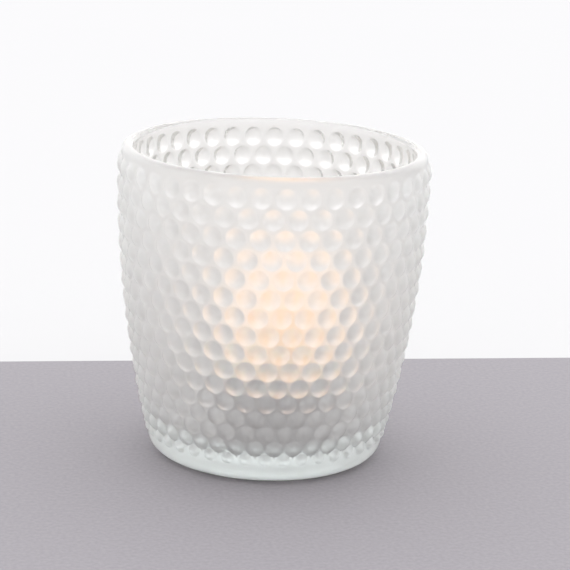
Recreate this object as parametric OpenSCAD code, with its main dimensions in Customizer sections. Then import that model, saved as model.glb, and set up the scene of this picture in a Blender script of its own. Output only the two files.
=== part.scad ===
// Tealight holder: a thick pressed tumbler of frosted glass, and the tealight that stands in it.
// The origin is the centre of the foot, +Z is up and -Y is the front.
// The glass's side is the surface that touches the tops of the small round bosses all over it.

/* [Glass] */
// Height of the glass
glass_h = 83; // [76:1:90]
// Outer radius of the plain rim
rim_r = 40; // [38:0.5:43]
// Thickness of the rim, which is a full round on top
rim_t = 3.2; // [2.6:0.2:4]
// How far the side stands out past the rim
shoulder = 1.2; // [0.6:0.2:1.8]
// Height of the collar, where the side swells out from the rim in a soft S-curve
collar_h = 2.6; // [1.6:0.2:3.4]
// Radius of the arc that the side follows, upright at the collar
side_arc_r = 301; // [270:1:380]
// Radius of the round corner between the side and the foot
corner_r = 6; // [4:0.5:8]
// Wall thickness where the floor begins
heel_t = 5; // [4:0.2:6]
// Thickness of the glass under the tealight
floor_t = 8.5; // [6:0.5:11]
// Radius of the hollow round where the floor meets the wall
floor_corner_r = 5; // [3:0.5:6]
// Radius of the shallow recess in the foot
recess_r = 20; // [14:1:22]
// Depth of the recess in the foot
recess_d = 0.8; // [0.4:0.1:1.5]

/* [Tealight] */
// How far the tealight stands off the glass's axis
tealight_x = 3; // [0:0.5:4]
// Outer radius of the cup's wall at its top
cup_r = 18.8; // [18:0.1:19.2]
// Height of the cup
cup_h = 13; // [12:0.5:20]
// Thickness of the cup's sheet
cup_t = 0.3; // [0.25:0.05:0.4]
// How far the cup's wall leans in towards its bottom
cup_taper = 0.6; // [0.3:0.1:1]
// Radius of the rolled edge of the cup
cup_bead_r = 0.4; // [0.3:0.05:0.5]
// Height of the wax at its edge, from the bottom of the cup
wax_h = 10.5; // [9:0.5:11.5]
// Gap between the wax and the cup's wall
wax_gap = 0.15; // [0.1:0.05:0.3]
// Radius of the pool that the flame melts in the wax
pool_r = 14.5; // [10:0.5:16]
// Depth of the pool
pool_d = 1; // [0.5:0.1:1.5]

/* [Wick] */
// Radius of the wick
wick_r = 0.8; // [0.7:0.1:1.1]
// Radius of the burnt end of the wick
wick_end_r = 0.6; // [0.4:0.1:0.6]
// Length of the wick's upright stretch above the pool
wick_upright = 1; // [0.5:0.5:3]
// Radius of the bend above it
wick_bend_r = 5; // [4:0.5:9]
// Angle that the wick's end leans at
wick_lean = 60; // [10:5:60]
// Radius of the steel disc that holds the wick
disc_r = 6.5; // [5:0.5:8]
// Thickness of the disc and of its neck
disc_t = 0.4; // [0.3:0.1:0.6]
// Height of the neck that grips the wick
neck_h = 3.5; // [2:0.5:5]

/* [Hidden] */
$fn = 96;
side_r_max = rim_r + shoulder;
lip_z = glass_h - rim_t / 2;
side_top_z = lip_z - collar_h;
collar_steps = 7;
side_steps = 14;
wall_steps = 12;
wax_bottom_r = cup_r - cup_taper - cup_t - wax_gap;
wax_top_r = wax_bottom_r + cup_taper * wax_h / cup_h;
pool_z = floor_t + wax_h - pool_d;

// Outer radius of the side at height z
function side_r(z) = side_r_max - side_arc_r + sqrt(pow(side_arc_r, 2) - pow(side_top_z - z, 2));
// How far the collar has swelled out at height z
function collar_out(z) = let (t = (lip_z - z) / collar_h) shoulder * t * t * (3 - 2 * t);
// Angle between the side and the vertical at height z
function side_lean(z) = asin((side_top_z - z) / side_arc_r);
// Radius of the inner wall at height z: the glass thins steadily from the heel to the rim
function inner_r(z) = side_r(z) - heel_t
    + (heel_t - rim_t - shoulder) * (z - floor_t) / (lip_z - floor_t);
// Points of an arc about [x, z], from one angle to another
function arc(x, z, r, from, to, steps) = [for (i = [0:steps])
    let (a = from + (to - from) * i / steps) [x + r * cos(a), z + r * sin(a)]];
// Heights between two limits, without the limits themselves
function between(low, high, steps) = [for (i = [1:steps - 1]) low + (high - low) * i / steps];

module glass_outline() {
    foot_lean = side_lean(corner_r);
    corner_top = corner_r * (1 - sin(foot_lean));
    corner_x = side_r(corner_top) - corner_r * cos(foot_lean);
    floor_lean = side_lean(floor_t + floor_corner_r);
    hollow_z = floor_t + floor_corner_r;
    hollow_top = hollow_z - floor_corner_r * sin(floor_lean);
    hollow_x = inner_r(hollow_top) - floor_corner_r * cos(floor_lean);
    polygon(concat(
        [[0, recess_d], [recess_r - 2, recess_d], [recess_r, 0]],
        arc(corner_x, corner_r, corner_r, -90, -foot_lean, 8),
        [for (z = between(corner_top, side_top_z, side_steps)) [side_r(z), z]],
        [[side_r_max, side_top_z]],
        [for (z = between(side_top_z, lip_z, collar_steps)) [rim_r + collar_out(z), z]],
        arc(rim_r - rim_t / 2, lip_z, rim_t / 2, 0, 180, 12),
        [for (z = between(-lip_z, -hollow_top, wall_steps)) [inner_r(-z), -z]],
        arc(hollow_x, hollow_z, floor_corner_r, -floor_lean, -90, 6),
        [[0, floor_t]]));
}

module glass_holder() {
    color([0.86, 0.9, 0.89, 0.55]) rotate_extrude() glass_outline();
}

// Everything of the tealight stands on the glass's floor, on the tealight's own axis
module on_floor() {
    translate([tealight_x, 0, floor_t]) children();
}

module candle_cup() {
    bead_z = cup_h - cup_bead_r;
    color([0.78, 0.78, 0.79]) on_floor() {
        difference() {
            cylinder(h = bead_z, r1 = cup_r - cup_taper, r2 = cup_r);
            translate([0, 0, cup_t])
                cylinder(h = cup_h, r1 = cup_r - cup_taper - cup_t,
                    r2 = cup_r - cup_t + cup_taper * (cup_h - bead_z) / bead_z);
        }
        translate([0, 0, bead_z]) rotate_extrude() translate([cup_r - cup_t / 2, 0]) circle(cup_bead_r, $fn = 32);
    }
}

module wax() {
    color([0.97, 0.94, 0.88]) on_floor() difference() {
        translate([0, 0, cup_t]) cylinder(h = wax_h - cup_t, r1 = wax_bottom_r, r2 = wax_top_r);
        translate([0, 0, wax_h - pool_d]) cylinder(h = 2 * pool_d, r1 = pool_r - pool_d, r2 = pool_r + pool_d);
        cylinder(h = wax_h, r = wick_r);
        cylinder(h = cup_t + disc_t, r = disc_r);
        cylinder(h = cup_t + neck_h, r = wick_r + disc_t);
    }
}

module wick_sustainer() {
    color([0.6, 0.6, 0.61]) on_floor() translate([0, 0, cup_t]) difference() {
        union() {
            cylinder(h = disc_t, r = disc_r);
            cylinder(h = neck_h, r = wick_r + disc_t);
        }
        translate([0, 0, -disc_t]) cylinder(h = neck_h + 2 * disc_t, r = wick_r);
    }
}

module wick() {
    bend_z = wax_h - pool_d + wick_upright;
    color([0.16, 0.14, 0.13]) on_floor() {
        translate([0, 0, cup_t]) cylinder(h = bend_z + wick_end_r / 2 - cup_t, r = wick_r);
        translate([wick_bend_r, 0, bend_z]) rotate([90, 0, 0]) rotate([0, 0, 180 - wick_lean])
            rotate_extrude(angle = wick_lean) translate([wick_bend_r, 0]) circle(wick_end_r, $fn = 32);
    }
}

glass_holder();
candle_cup();
wax();
wick_sustainer();
wick();
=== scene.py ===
"""Looks of the tealight holder: frosted hobnail glass round a lit tealight, on a grey table."""

import math

import bpy
import numpy as np
from mathutils import Matrix, Vector


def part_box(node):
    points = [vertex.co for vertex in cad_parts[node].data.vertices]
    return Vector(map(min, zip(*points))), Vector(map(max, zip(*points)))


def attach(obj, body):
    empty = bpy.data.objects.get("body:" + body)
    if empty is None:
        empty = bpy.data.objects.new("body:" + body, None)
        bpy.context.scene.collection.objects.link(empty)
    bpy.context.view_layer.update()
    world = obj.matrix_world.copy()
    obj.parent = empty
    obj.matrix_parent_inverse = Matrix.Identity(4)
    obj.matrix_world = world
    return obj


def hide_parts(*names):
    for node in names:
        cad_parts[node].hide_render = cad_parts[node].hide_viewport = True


MM = 0.001

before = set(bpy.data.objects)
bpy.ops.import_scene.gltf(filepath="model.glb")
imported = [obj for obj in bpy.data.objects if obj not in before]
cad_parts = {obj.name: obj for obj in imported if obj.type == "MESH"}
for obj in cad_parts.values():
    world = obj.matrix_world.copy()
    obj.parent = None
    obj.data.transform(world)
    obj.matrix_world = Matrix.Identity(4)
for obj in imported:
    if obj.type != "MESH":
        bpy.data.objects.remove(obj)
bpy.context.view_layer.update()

# ---- Sizes of the glass, in millimetres. The driving ones come from the frame. ----

GLASS_LOW, GLASS_HIGH = (np.array(c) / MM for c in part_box("glass_holder"))
CUP_LOW, CUP_HIGH = (np.array(c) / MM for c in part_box("candle_cup"))
WAX_LOW, WAX_HIGH = (np.array(c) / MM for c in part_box("wax"))
WICK_LOW = np.array(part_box("wick")[0]) / MM

GLASS_H = GLASS_HIGH[2]
SIDE_R = (GLASS_HIGH[0] - GLASS_LOW[0]) / 2  # over the tops of the highest bosses
SHOULDER = 1.2  # how far the bosses stand out past the rim
RIM_R = SIDE_R - SHOULDER
RIM_T = 3.2  # thickness of the rim, which is a full round on top
LIP_Z = GLASS_H - RIM_T / 2
COLLAR_H = 2.6
SIDE_TOP_Z = LIP_Z - COLLAR_H
SIDE_ARC_R = 301
CORNER_R = 6
HEEL_T = 5  # thickness of the wall where the floor begins
FLOOR_Z = CUP_LOW[2]
FLOOR_CORNER_R = 5
RECESS_R = 20
RECESS_D = 0.8

# ---- Bosses and their mesh ----

ROWS = 16
BOSSES = 41  # in each row
PITCH = 2 * math.pi / BOSSES
FIRST_ROW_Z = 77.7
ROW_STEP, ROW_STEP_GAIN = 0.78, 0.06  # a row's height over its spacing at the foot, and more at the rim
BOSS_R = 2.65
BOSS_SHARE = 0.455  # a boss's radius is at most this share of the spacing along its row
BOSS_H = 1.05
LAST_ROW_SCALE = 0.78
FADE_LOW, FADE_HIGH = 1.0, 9.0  # heights between which the bosses grow from nothing to full
EDGE_SOFTNESS = 0.06
RINGS = (1.02, 0.92, 0.72, 0.48, 0.24)  # mesh rings in a boss, as shares of its radius
EDGE_STEPS = 3  # mesh steps along each side of a boss's six-sided cell
CELL_STEPS = 2 * EDGE_STEPS
COLUMNS = CELL_STEPS * BOSSES
FIRST_COLUMN = math.radians(0.39)
NET_MARGIN = 0.3  # plain glass between the outermost bosses and the edges of the net of cells

# ---- Sizes of the tealight, in millimetres ----

TEALIGHT_X = (CUP_LOW[0] + CUP_HIGH[0]) / 2
POOL_R = 14.5
POOL_Z = WAX_HIGH[2] - 1
POOL_BED = ((POOL_R - 1.5, 0.4), (POOL_R - 4, 0.9), (4, 1.3), (0, 1.4))  # radius and depth
POOL_GAP = 0.04  # between the solid wax and the melted wax
WICK_UPRIGHT = 1
WICK_BEND_R = 5
WICK_LEAN = math.radians(60)
STRAND_R = 0.33
PLAIT_WIDTH, PLAIT_DEPTH = 0.42, 0.22  # how far a strand swings across and through the plait
FLAME_H = 30.0
FLAME_R = 3.2

# ---- Looks ----

GLASS_COLOUR = (0.985, 0.975, 0.96, 1)
DEEP_COLOUR = (0.6, 0.86, 0.82, 1)
DEEP_DENSITY = 6.0
CLEAR_ROUGH = 0.05
FROST_ROUGH = 0.37
FROST_UNEVEN = 0.04
FROST_CLEAR = 0.73  # share of clear glass left in the frosting
RIM_FROST = 0.8
INSIDE_FROST = 0.45
CORNER_FROST = 1.0
FOOT_FROST = 0.1
FLAME_STRENGTH = 1.4
FLAME_STOPS = (
    (0.0, (0.1, 0.12, 0.35)),
    (0.14, (0.35, 0.18, 0.1)),
    (0.3, (1, 0.5, 0.14)),
    (0.6, (1, 0.58, 0.22)),
    (1.0, (1.0, 0.42, 0.1)),
)
HALO_COLOUR = (1, 0.54, 0.2)
HALO_ENERGY = 0.0085
HALO_SIZE = 0.021
HALO_PLACE = 0.52  # share of the flame's height
SKY_COLOUR = (0.99, 0.985, 1.0, 1)
SKY_STRENGTH = 1.6
SKY_FROM_BEHIND = 0.25


# ---- Meshes ----


def smooth(t):
    """Eases from 0 to 1 with a level start and end."""
    t = min(max(t, 0), 1)
    return t * t * (3 - 2 * t)


def arc(x, z, r, start, end, steps):
    """Points of an arc about (x, z), angles in degrees."""
    angles = np.radians(np.linspace(start, end, steps + 1))
    return [(x + r * math.cos(a), z + r * math.sin(a)) for a in angles]


def side_radius(z):
    """The glass's radius at a height, over the tops of the bosses."""
    if z > SIDE_TOP_Z:
        return RIM_R + SHOULDER * smooth((LIP_Z - z) / COLLAR_H)
    return SIDE_R - SIDE_ARC_R + math.sqrt(SIDE_ARC_R**2 - (SIDE_TOP_Z - z) ** 2)


def side_lean(z):
    """The angle between the side and the vertical."""
    return math.asin(max(SIDE_TOP_Z - z, 0) / SIDE_ARC_R)


def inner_radius(z):
    """The hollow's radius at a height: the wall thins steadily from the heel to the rim."""
    taper = (z - FLOOR_Z) / (LIP_Z - FLOOR_Z)
    return side_radius(min(z, SIDE_TOP_Z)) - HEEL_T + (HEEL_T - RIM_T - SHOULDER) * taper


def boss_height(z):
    """Height of the bosses centred at a height on the glass: they fade out towards the foot."""
    return BOSS_H * smooth((z - FADE_LOW) / (FADE_HIGH - FADE_LOW))


def ground_radius(z):
    """The glass's radius between the bosses. The bosses rise from it to the side's full radius."""
    if z > SIDE_TOP_Z:
        return RIM_R + (SHOULDER - BOSS_H) * smooth((LIP_Z - z) / COLLAR_H)
    return side_radius(z) - boss_height(z)


def boss_rows():
    """Height, radius and rise of each row's bosses. The rows close up as the glass narrows."""
    rows = []
    z = FIRST_ROW_Z
    for i in range(ROWS):
        spacing = PITCH * side_radius(z)
        radius = min(BOSS_R, BOSS_SHARE * spacing)
        rows.append((z, radius * LAST_ROW_SCALE if i == ROWS - 1 else radius, boss_height(z)))
        step = (ROW_STEP + ROW_STEP_GAIN * z / GLASS_H) * spacing
        z -= step * LAST_ROW_SCALE if i == ROWS - 2 else step
    return rows


def dome(share, height):
    """Rise at a share of the boss's radius: a shallow dome with a small hollow round its edge."""
    cap = height * (1 - share**2)
    return 0.5 * (cap + math.hypot(cap, EDGE_SOFTNESS)) - 0.5 * EDGE_SOFTNESS * max(share - 1, 0)


def column_angle(c):
    """The angle of a column of the glass's mesh, from the front, -Y, towards +X."""
    return FIRST_COLUMN + (c * PITCH) / CELL_STEPS


def first_column(row):
    """The column where a row's first cell begins: every other row is half a cell over."""
    return -EDGE_STEPS if row % 2 else 0


def on_glass(angle, z, out=0.0):
    """A point on the ground between the bosses, or straight out from it."""
    lean = side_lean(z)
    r = ground_radius(z) + out * math.cos(lean)
    return (r * math.sin(angle), -r * math.cos(angle), z - out * math.sin(lean))


def new_object(name, vertices, faces):
    """A smooth-shaded object from vertices in millimetres."""
    mesh = bpy.data.meshes.new(name)
    mesh.from_pydata([tuple(c * MM for c in v) for v in vertices], [], faces)
    mesh.shade_smooth()
    mesh.update()
    piece = bpy.data.objects.new(name, mesh)
    bpy.context.collection.objects.link(piece)
    return piece


def box_of(piece):
    """The lowest and the highest corner of a piece, in metres."""
    corners = np.array([v.co for v in piece.data.vertices])
    return corners.min(axis=0), corners.max(axis=0)


class Skin:
    """Vertices and faces of the glass, with the share of frosting at each vertex."""

    def __init__(self):
        self.vertices = []
        self.faces = []
        self.frost = []

    def add(self, point, frost=1.0):
        self.vertices.append(point)
        self.frost.append(frost)
        return len(self.vertices) - 1

    def ring(self, r, z, frost):
        return [
            self.add((r * math.sin(a), -r * math.cos(a), z), frost)
            for a in (column_angle(c) for c in range(COLUMNS))
        ]

    def join(self, outer, inner):
        """Faces between two closed loops of equal length."""
        n = len(outer)
        for j in range(n):
            k = (j + 1) % n
            self.faces.append((outer[j], outer[k], inner[k], inner[j]))

    def cap(self, loop, centre):
        """Faces from a closed loop to the vertex in its middle."""
        n = len(loop)
        for j in range(n):
            self.faces.append((loop[j], loop[(j + 1) % n], centre))


def cell_borders(skin, rows, top_z, low_z):
    """The zigzags between the rows of cells, and the level edges above and below them all."""
    borders = [[skin.add(on_glass(column_angle(c), top_z)) for c in range(COLUMNS)]]
    for i in range(ROWS - 1):
        gap = rows[i][0] - rows[i + 1][0]
        border = []
        for c in range(COLUMNS):
            from_edge = (c - first_column(i)) % CELL_STEPS
            share = 1 - abs(from_edge - EDGE_STEPS) / EDGE_STEPS
            border.append(skin.add(on_glass(column_angle(c), rows[i][0] - gap * (1 + share) / 3)))
        borders.append(border)
    borders.append([skin.add(on_glass(column_angle(c), low_z)) for c in range(COLUMNS)])
    return borders


def cell_posts(skin, row, upper, lower):
    """The upright sides that a row's cells share, without the ends, which are on the borders."""
    posts = []
    for k in range(BOSSES):
        c = (first_column(row) + CELL_STEPS * k) % COLUMNS
        low = skin.vertices[lower[c]][2]
        high = skin.vertices[upper[c]][2]
        posts.append([
            skin.add(on_glass(column_angle(c), low + (high - low) * j / EDGE_STEPS))
            for j in range(1, EDGE_STEPS)
        ])
    return posts


def add_boss(skin, edge, middle, z, radius, height):
    """A boss in its cell: one ring on the ground round it, then rings up to its top."""
    r = side_radius(z)
    upright = math.cos(side_lean(z))
    spokes = []
    for v in edge:
        x, y, edge_z = skin.vertices[v]
        across = math.remainder(math.atan2(x, -y) - middle, 2 * math.pi) * r
        up = (edge_z - z) / upright
        spokes.append((across, up, math.hypot(across, up)))
    rings = [[(radius + far) / 2 for _, _, far in spokes]]
    rings += [[share * radius] * len(spokes) for share in RINGS]
    loop = edge
    for reaches in rings:
        ring = []
        for (across, up, far), reach in zip(spokes, reaches):
            angle = middle + across / far * reach / r
            ring_z = z + up / far * reach * upright
            ring.append(skin.add(on_glass(angle, ring_z, dome(reach / radius, height))))
        skin.join(loop, ring)
        loop = ring
    skin.cap(loop, skin.add(on_glass(middle, z, dome(0, height))))


def add_rim_and_inside(skin, loop, top_z):
    """From the top of the net of cells over the lip, down the wall and across the floor."""
    hollow_z = FLOOR_Z + FLOOR_CORNER_R
    lean = side_lean(hollow_z)
    hollow_top = hollow_z - FLOOR_CORNER_R * math.sin(lean)
    hollow_x = inner_radius(hollow_top) - FLOOR_CORNER_R * math.cos(lean)
    lip_x = RIM_R - RIM_T / 2
    frost_end = 110  # where on the lip's round, in degrees, the heavy frosting ends
    outside = [(ground_radius(z), z) for z in np.linspace(top_z, LIP_Z, 5)[1:-1]]
    outside += arc(lip_x, LIP_Z, RIM_T / 2, 0, frost_end, 8)
    inside = arc(lip_x, LIP_Z, RIM_T / 2, frost_end, 180, 5)[1:]
    inside += [(inner_radius(z), z) for z in np.linspace(LIP_Z, hollow_top, 16)[1:-1]]
    inside += arc(hollow_x, hollow_z, FLOOR_CORNER_R, -math.degrees(lean), -90, 8)
    inside += [(hollow_x * share, FLOOR_Z) for share in (0.85, 0.6, 0.3)]
    for frost, outline in ((RIM_FROST, outside), (INSIDE_FROST, inside)):
        for r, z in outline:
            ring = skin.ring(r, z, frost)
            skin.join(loop, ring)
            loop = ring
    skin.cap(loop, skin.add((0, 0, FLOOR_Z), INSIDE_FROST))


def add_foot(skin, loop, low_z):
    """From the bottom of the net of cells round the corner and across the recessed foot."""
    lean = side_lean(CORNER_R)
    corner_top = CORNER_R * (1 - math.sin(lean))
    corner_x = side_radius(corner_top) - CORNER_R * math.cos(lean)
    corner = arc(corner_x, CORNER_R, CORNER_R, -math.degrees(lean), -90, 9)
    corner = [(r - boss_height(z), z) for r, z in corner if z < low_z - 0.2]
    under = [(corner_x - 2.5, 0), (RECESS_R + 1.2, 0), (RECESS_R, 0.05), (RECESS_R - 1, 0.4),
             (RECESS_R - 2, RECESS_D - 0.05), (RECESS_R - 3.2, RECESS_D), (RECESS_R / 2, RECESS_D)]
    for frost, outline in ((CORNER_FROST, corner), (FOOT_FROST, under)):
        for r, z in outline:
            ring = skin.ring(r, z, frost)
            skin.join(ring, loop)
            loop = ring
    skin.cap(loop[::-1], skin.add((0, 0, RECESS_D), FOOT_FROST))


def build_glass():
    """The glass: a net of six-sided cells with a boss in each, closed by rings above and below."""
    skin = Skin()
    rows = boss_rows()
    top_z = rows[0][0] + rows[0][1] + NET_MARGIN
    low_z = rows[-1][0] - rows[-1][1] - NET_MARGIN
    borders = cell_borders(skin, rows, top_z, low_z)
    for i, (z, radius, height) in enumerate(rows):
        upper, lower = borders[i], borders[i + 1]
        posts = cell_posts(skin, i, upper, lower)
        for k in range(BOSSES):
            start = first_column(i) + CELL_STEPS * k
            span = [(start + j) % COLUMNS for j in range(CELL_STEPS + 1)]
            edge = [lower[c] for c in span] + posts[(k + 1) % BOSSES]
            edge += [upper[c] for c in reversed(span)] + posts[k][::-1]
            add_boss(skin, edge, column_angle(start + EDGE_STEPS), z, radius, height)
    add_rim_and_inside(skin, borders[0], top_z)
    add_foot(skin, borders[-1], low_z)
    piece = new_object("glass_hobnail", skin.vertices, skin.faces)
    frost = piece.data.attributes.new("frost", "FLOAT", "POINT")
    frost.data.foreach_set("value", skin.frost)
    return piece


def revolve(name, outline, steps=96, x=0.0):
    """A closed solid of revolution. The outline runs from axis to axis, with the outside on its right."""
    vertices, faces, loops = [], [], []
    for r, z in outline:
        if r < 1e-6:
            vertices.append((x, 0, z))
            loops.append([len(vertices) - 1])
            continue
        start = len(vertices)
        for j in range(steps):
            a = 2 * math.pi * j / steps
            vertices.append((x + r * math.cos(a), r * math.sin(a), z))
        loops.append(list(range(start, start + steps)))
    for one, two in zip(loops, loops[1:]):
        for j in range(steps):
            k = (j + 1) % steps
            if len(one) == 1:
                faces.append((one[0], two[k], two[j]))
            elif len(two) == 1:
                faces.append((one[j], one[k], two[0]))
            else:
                faces.append((one[j], one[k], two[k], two[j]))
    return new_object(name, vertices, faces)


def build_cup():
    """The tealight's cup: thin drawn sheet with a rolled edge and a bottom pressed up in its middle."""
    sheet = 0.25
    bead = 0.4
    taper = 0.6
    corner = 0.9
    corner_end = 1.2  # how far the corner reaches along the bottom and up the wall
    panel_r = 12
    panel_rise = 0.3
    panel_foot_r = panel_r + 1
    low, top = FLOOR_Z, CUP_HIGH[2]
    wall_top = (CUP_HIGH[0] - CUP_LOW[0]) / 2 - bead + sheet / 2
    wall_low = wall_top - taper
    corner_x = wall_low - corner
    outline = [(0, low + panel_rise), (panel_r, low + panel_rise), (panel_foot_r, low)]
    outline += [(wall_low - corner_end, low)]
    outline += arc(corner_x, low + corner, corner, -90, 0, 6)[1:]
    outline += [(wall_top - sheet / 2 - 0.05, top - 2 * bead)]
    outline += arc(wall_top - sheet / 2, top - bead, bead, -60, 200, 12)
    outline += [(wall_top - sheet, top - 2 * bead - 0.2), (wall_low - sheet, low + corner_end)]
    outline += arc(corner_x, low + corner, corner - sheet, 0, -90, 5)[1:]
    outline += [(panel_foot_r, low + sheet), (panel_r, low + panel_rise + sheet)]
    outline += [(0, low + panel_rise + sheet)]
    return revolve("cup_drawn", outline, 128, TEALIGHT_X)


def build_wax():
    """The puck of wax, with a soft wall round the pool that the flame has melted."""
    low, top = WAX_LOW[2] + 0.3, WAX_HIGH[2]
    edge = (WAX_HIGH[0] - WAX_LOW[0]) / 2
    low_round, top_round = 0.8, 0.5
    outline = [(0, low), (edge - 1.4, low)]
    outline += arc(edge - 1.3, low + low_round, low_round, -90, 0, 4)[1:]
    outline += [(edge - 0.1, top - 0.7)]
    outline += arc(edge - 0.6, top - top_round, top_round, 0, 90, 4)
    outline += [(POOL_R + 1.2, top - 0.12), (POOL_R + 0.2, top - 0.45), (POOL_R - 0.5, POOL_Z)]
    bed = [(r, POOL_Z - depth) for r, depth in POOL_BED]
    outline += bed[:-1] + [(1, bed[-1][1])] + bed[-1:]
    return revolve("wax_puck", outline, 96, TEALIGHT_X)


def build_pool():
    """The melted wax: a clear liquid that climbs a little at its edge and at the wick."""
    bed = [(r, POOL_Z - depth + POOL_GAP) for r, depth in reversed(POOL_BED)]
    edge = [(POOL_R - 0.45, POOL_Z + 0.05), (POOL_R - 0.1, POOL_Z + 0.28), (POOL_R - 0.7, POOL_Z + 0.1)]
    surface = [(POOL_R - 2, POOL_Z), (6, POOL_Z - 0.02), (2.4, POOL_Z)]
    at_wick = [(1.5, POOL_Z + 0.12), (1.05, POOL_Z + 0.4), (0, POOL_Z + 0.45)]
    return revolve("wax_melted", bed + edge + surface + at_wick, 96, TEALIGHT_X)


def wick_line(t):
    """A point on the wick's middle line, t from 0 at the foot to 1 at the tip, and its lean."""
    foot = WICK_LOW[2] + 0.6
    bend_z = POOL_Z + WICK_UPRIGHT
    straight = bend_z - foot
    s = t * (straight + WICK_BEND_R * WICK_LEAN)
    if s < straight:
        return TEALIGHT_X, foot + s, 0.0
    lean = (s - straight) / WICK_BEND_R
    return TEALIGHT_X + WICK_BEND_R * (1 - math.cos(lean)), bend_z + WICK_BEND_R * math.sin(lean), lean


def strand_radius(t):
    """A strand's radius, rounded off at the tip."""
    tip = 0.03  # share of the wick's length
    if t <= 1 - tip:
        return STRAND_R
    return STRAND_R * math.sqrt(max(1 - ((t - 1 + tip) / tip) ** 2, 0.05))


def build_wick():
    """Three plaited strands that thin out at the burnt end."""
    strands, rings, sides, plaits = 3, 96, 8, 7
    burnt = 0.25  # share of the wick's length
    vertices, faces = [], []
    for n in range(strands):
        start = len(vertices)
        for i in range(rings + 1):
            t = i / rings
            x, z, lean = wick_line(t)
            phase = 2 * math.pi * (plaits * t + n / strands)
            thin = 1 - 0.35 * max(t - 1 + burnt, 0) / burnt
            across = PLAIT_WIDTH * thin * math.sin(phase)
            deep = PLAIT_DEPTH * thin * math.sin(2 * phase)
            radius = thin * strand_radius(t)
            for j in range(sides):
                a = 2 * math.pi * j / sides
                out = across + radius * math.cos(a)
                side = deep + radius * math.sin(a)
                vertices.append((x + out * math.cos(lean), side, z - out * math.sin(lean)))
        for i in range(rings):
            for j in range(sides):
                a = start + i * sides + j
                b = start + i * sides + (j + 1) % sides
                faces.append((a, b, b + sides, a + sides))
        last = start + rings * sides
        faces.append(tuple(range(start + sides - 1, start - 1, -1)))
        faces.append(tuple(range(last, last + sides)))
    return new_object("wick_braid", vertices, faces)


def build_flame():
    """A still flame round the wick's tip."""
    steps = 28
    x, z, _ = wick_line(0.95)
    outline = []
    for i in range(steps + 1):
        t = i / steps
        r = FLAME_R * (math.sin(math.pi * t**0.62)) ** 0.9 * (1 - 0.35 * t)
        outline.append((max(r, 0.0) if 0 < i < steps else 0.0, z - 1.6 + FLAME_H * t))
    return revolve("flame", outline, 48, x + 0.4)


# ---- Materials ----


def new_material(name):
    material = bpy.data.materials.new(name)
    material.use_nodes = True
    nodes = material.node_tree.nodes
    return material, nodes, material.node_tree.links, nodes["Principled BSDF"]


def noise(nodes, links, scale, detail=3.0, coordinates=None):
    """The value of a noise texture, in the object's own coordinates unless others are given."""
    texture = nodes.new("ShaderNodeTexNoise")
    texture.inputs["Scale"].default_value = scale
    texture.inputs["Detail"].default_value = detail
    source = coordinates or nodes.new("ShaderNodeTexCoord").outputs["Object"]
    links.new(source, texture.inputs["Vector"])
    return texture.outputs["Fac"]


def bump(nodes, links, height, strength, distance, onto):
    node = nodes.new("ShaderNodeBump")
    node.inputs["Strength"].default_value = strength
    node.inputs["Distance"].default_value = distance
    links.new(height, node.inputs["Height"])
    links.new(node.outputs["Normal"], onto.inputs["Normal"])


def spread(nodes, links, value, low, high, start=0.0, end=1.0):
    """Maps start..end to low..high."""
    node = nodes.new("ShaderNodeMapRange")
    node.inputs["From Min"].default_value = start
    node.inputs["From Max"].default_value = end
    node.inputs["To Min"].default_value = low
    node.inputs["To Max"].default_value = high
    links.new(value, node.inputs["Value"])
    return node.outputs["Result"]


def coordinate(nodes, links, space, axis):
    """One coordinate of the shaded point."""
    where = nodes.new("ShaderNodeTexCoord")
    split = nodes.new("ShaderNodeSeparateXYZ")
    links.new(where.outputs[space], split.inputs["Vector"])
    return split.outputs[axis]


def ramp(nodes, links, value, stops):
    """A colour that runs through the stops, each a place and a colour."""
    node = nodes.new("ShaderNodeValToRGB")
    elements = node.color_ramp.elements
    elements[0].position = stops[0][0]
    elements[1].position = stops[-1][0]
    for place, _ in stops[1:-1]:
        elements.new(place)
    for element, (_, colour) in zip(elements, stops):
        element.color = (*colour, 1)
    links.new(value, node.inputs["Fac"])
    return node.outputs["Color"]


def glass_material():
    """Clear glass whose frosted outside scatters what comes through it and whitens it a little."""
    material, nodes, links, shader = new_material("frosted_glass")
    shader.inputs["Base Color"].default_value = GLASS_COLOUR
    shader.inputs["IOR"].default_value = 1.5
    frost = nodes.new("ShaderNodeAttribute")
    frost.attribute_name = "frost"
    clear = spread(nodes, links, frost.outputs["Fac"], 1.0, FROST_CLEAR)
    links.new(clear, shader.inputs["Transmission Weight"])
    cloud = noise(nodes, links, 180)
    uneven = spread(nodes, links, cloud, FROST_ROUGH - FROST_UNEVEN, FROST_ROUGH + FROST_UNEVEN)
    rough = nodes.new("ShaderNodeMath")
    rough.operation = "MULTIPLY_ADD"
    links.new(frost.outputs["Fac"], rough.inputs[0])
    links.new(uneven, rough.inputs[1])
    rough.inputs[2].default_value = CLEAR_ROUGH
    links.new(rough.outputs[0], shader.inputs["Roughness"])
    bump(nodes, links, noise(nodes, links, 5200, 2), 0.3, 0.00005, shader)
    tint = nodes.new("ShaderNodeVolumeAbsorption")
    tint.inputs["Color"].default_value = DEEP_COLOUR
    tint.inputs["Density"].default_value = DEEP_DENSITY
    links.new(tint.outputs["Volume"], nodes["Material Output"].inputs["Volume"])
    return material


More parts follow.
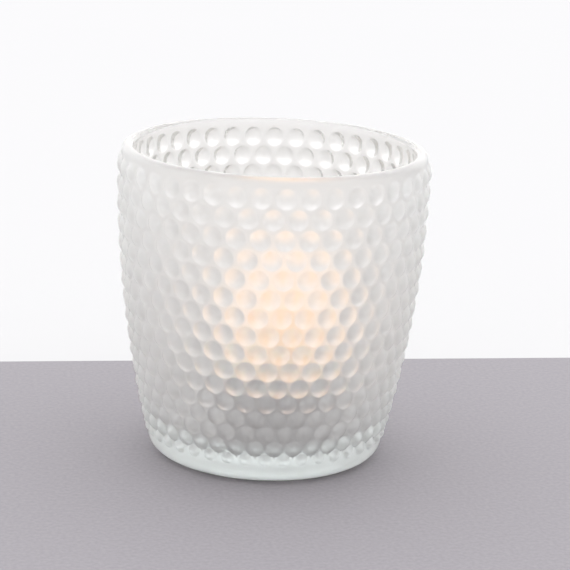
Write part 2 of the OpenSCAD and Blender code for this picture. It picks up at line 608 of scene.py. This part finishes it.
def foil_material():
    """Aluminium with fine lines drawn down the wall."""
    material, nodes, links, shader = new_material("drawn_aluminium")
    shader.inputs["Metallic"].default_value = 1
    shader.inputs["Base Color"].default_value = (0.72, 0.72, 0.73, 1)
    where = nodes.new("ShaderNodeTexCoord")
    squash = nodes.new("ShaderNodeMapping")
    squash.inputs["Scale"].default_value = (1, 1, 0.06)
    links.new(where.outputs["Object"], squash.inputs["Vector"])
    lines = noise(nodes, links, 1800, 4, squash.outputs["Vector"])
    links.new(spread(nodes, links, lines, 0.22, 0.42), shader.inputs["Roughness"])
    bump(nodes, links, lines, 0.25, 0.00005, shader)
    return material


def wax_material():
    """Creamy wax that light goes into."""
    material, nodes, links, shader = new_material("paraffin")
    shader.inputs["Base Color"].default_value = (0.94, 0.9, 0.83, 1)
    shader.inputs["Subsurface Weight"].default_value = 0.6
    shader.inputs["Subsurface Radius"].default_value = (1.0, 0.6, 0.35)
    shader.inputs["Subsurface Scale"].default_value = 0.004
    shader.inputs["Roughness"].default_value = 0.42
    bump(nodes, links, noise(nodes, links, 260, 4), 0.15, 0.0004, shader)
    return material


def pool_material():
    """Melted wax: clear, smooth and faintly yellow."""
    material, _, _, shader = new_material("melted_paraffin")
    shader.inputs["Base Color"].default_value = (0.99, 0.97, 0.92, 1)
    shader.inputs["Transmission Weight"].default_value = 1
    shader.inputs["IOR"].default_value = 1.43
    shader.inputs["Roughness"].default_value = 0.03
    return material


def steel_material():
    """Tinned steel, cloudy."""
    material, nodes, links, shader = new_material("tinned_steel")
    shader.inputs["Metallic"].default_value = 1
    shader.inputs["Base Color"].default_value = (0.55, 0.55, 0.56, 1)
    cloud = noise(nodes, links, 900)
    links.new(spread(nodes, links, cloud, 0.25, 0.5), shader.inputs["Roughness"])
    return material


def wick_material():
    """Cotton, waxy and pale below, charred above."""
    material, nodes, links, shader = new_material("braided_cotton")
    height = coordinate(nodes, links, "Object", "Z")
    char = spread(nodes, links, height, 0, 1, (POOL_Z + 0.6) * MM, (POOL_Z + 3.2) * MM)
    colour = ramp(nodes, links, char, ((0, (0.75, 0.68, 0.55)), (1, (0.012, 0.01, 0.009))))
    links.new(colour, shader.inputs["Base Color"])
    shader.inputs["Roughness"].default_value = 0.8
    bump(nodes, links, noise(nodes, links, 6000, 3), 0.6, 0.00008, shader)
    return material


def flame_material(low, high):
    """Blue and faint at the wick, white-yellow in the middle, orange at the tip."""
    material, nodes, links, shader = new_material("flame_light")
    along = spread(nodes, links, coordinate(nodes, links, "Object", "Z"), 0, 1, low, high)
    links.new(ramp(nodes, links, along, FLAME_STOPS), shader.inputs["Emission Color"])
    shader.inputs["Emission Strength"].default_value = FLAME_STRENGTH
    shader.inputs["Base Color"].default_value = (0, 0, 0, 1)
    shader.inputs["Roughness"].default_value = 1
    shader.inputs["Specular IOR Level"].default_value = 0
    return material


def table_material():
    """A matt grey surface with a fine grain."""
    material, nodes, links, shader = new_material("table_matte")
    grain = noise(nodes, links, 900, 5)
    tone = ramp(nodes, links, grain, ((0.3, (0.281, 0.267, 0.285)), (0.7, (0.319, 0.305, 0.322))))
    links.new(tone, shader.inputs["Base Color"])
    shader.inputs["Roughness"].default_value = 0.8
    shader.inputs["Specular IOR Level"].default_value = 0.2
    return material


def backdrop_material():
    material, _, _, shader = new_material("backdrop_white")
    shader.inputs["Base Color"].default_value = (0.612, 0.612, 0.612, 1)
    shader.inputs["Roughness"].default_value = 1
    shader.inputs["Specular IOR Level"].default_value = 0
    return material


# ---- Stage, light and camera, in metres ----


def build_stage():
    """A grey table in front and white beyond its back edge, both flat on the floor."""
    table_edge = 0.079
    near, wide, far = -3.0, 3.0, 6.0
    for name, y0, y1, material in (
        ("table", near, table_edge, table_material()),
        ("backdrop", table_edge, far, backdrop_material()),
    ):
        mesh = bpy.data.meshes.new(name)
        corners = [(-wide, y0, 0), (wide, y0, 0), (wide, y1, 0), (-wide, y1, 0)]
        mesh.from_pydata(corners, [], [(0, 1, 2, 3)])
        floor = bpy.data.objects.new(name, mesh)
        floor.location.z = -0.0001
        floor.rotation_euler.z = math.radians(8.6)
        bpy.context.collection.objects.link(floor)
        mesh.materials.append(material)


def build_light():
    """A soft white room that is brighter behind the glass than in front of it."""
    world = bpy.data.worlds.new("studio")
    world.use_nodes = True
    nodes, links = world.node_tree.nodes, world.node_tree.links
    sky = nodes["Background"]
    sky.inputs["Color"].default_value = SKY_COLOUR
    front, back = SKY_STRENGTH * (1 - SKY_FROM_BEHIND), SKY_STRENGTH * (1 + SKY_FROM_BEHIND)
    strength = spread(nodes, links, coordinate(nodes, links, "Generated", "Y"), front, back, -1)
    links.new(strength, sky.inputs["Strength"])
    bpy.context.scene.world = world
    bpy.context.scene.view_settings.view_transform = "Standard"


def build_camera():
    """A long lens, a little above the rim, tilted slightly."""
    distance = 0.5836
    elevation = math.radians(15.48)
    roll = math.radians(2.28)
    middle_z = 0.0414
    aim = Vector((0.0040, 0.0010, 0.0451))
    place = Vector((0, -distance * math.cos(elevation), distance * math.sin(elevation) + middle_z))
    data = bpy.data.cameras.new("camera")
    data.lens = 138.4
    data.clip_start = 0.01
    camera = bpy.data.objects.new("camera", data)
    bpy.context.collection.objects.link(camera)
    facing = (aim - place).to_track_quat("-Z", "Y").to_matrix().to_4x4()
    camera.matrix_world = Matrix.Translation(place) @ facing @ Matrix.Rotation(roll, 4, "Z")
    bpy.context.scene.camera = camera


def build_halo(flame, low, high):
    """The flame's own soft light, which moves with it and isn't seen itself."""
    light = bpy.data.lights.new("flame_halo", "POINT")
    light.color = HALO_COLOUR
    light.energy = HALO_ENERGY
    light.shadow_soft_size = HALO_SIZE
    halo = bpy.data.objects.new("flame_halo", light)
    halo.location = ((low[0] + high[0]) / 2, 0, low[2] + HALO_PLACE * (high[2] - low[2]))
    halo.visible_camera = False
    halo.visible_glossy = False
    halo.parent = flame
    bpy.context.collection.objects.link(halo)


build_camera()
build_light()
build_stage()

glass = build_glass()
glass.data.materials.append(glass_material())
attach(glass, "holder")
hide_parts("glass_holder")

cup = build_cup()
cup.data.materials.append(foil_material())
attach(cup, "tealight")
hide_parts("candle_cup")

wax = build_wax()
wax.data.materials.append(wax_material())
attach(wax, "candle")
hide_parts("wax")

pool = build_pool()
pool.data.materials.append(pool_material())
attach(pool, "candle")

wick = build_wick()
wick.data.materials.append(wick_material())
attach(wick, "candle")
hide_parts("wick")

flame = build_flame()
flame_low, flame_high = box_of(flame)
flame.data.materials.append(flame_material(flame_low[2], flame_high[2]))
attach(flame, "candle")
build_halo(flame, flame_low, flame_high)

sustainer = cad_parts["wick_sustainer"]
sustainer.data.materials.clear()
sustainer.data.materials.append(steel_material())

cycles = bpy.context.scene.cycles
cycles.use_denoising = True
cycles.max_bounces = 24
cycles.diffuse_bounces = 10
cycles.transmission_bounces = 24
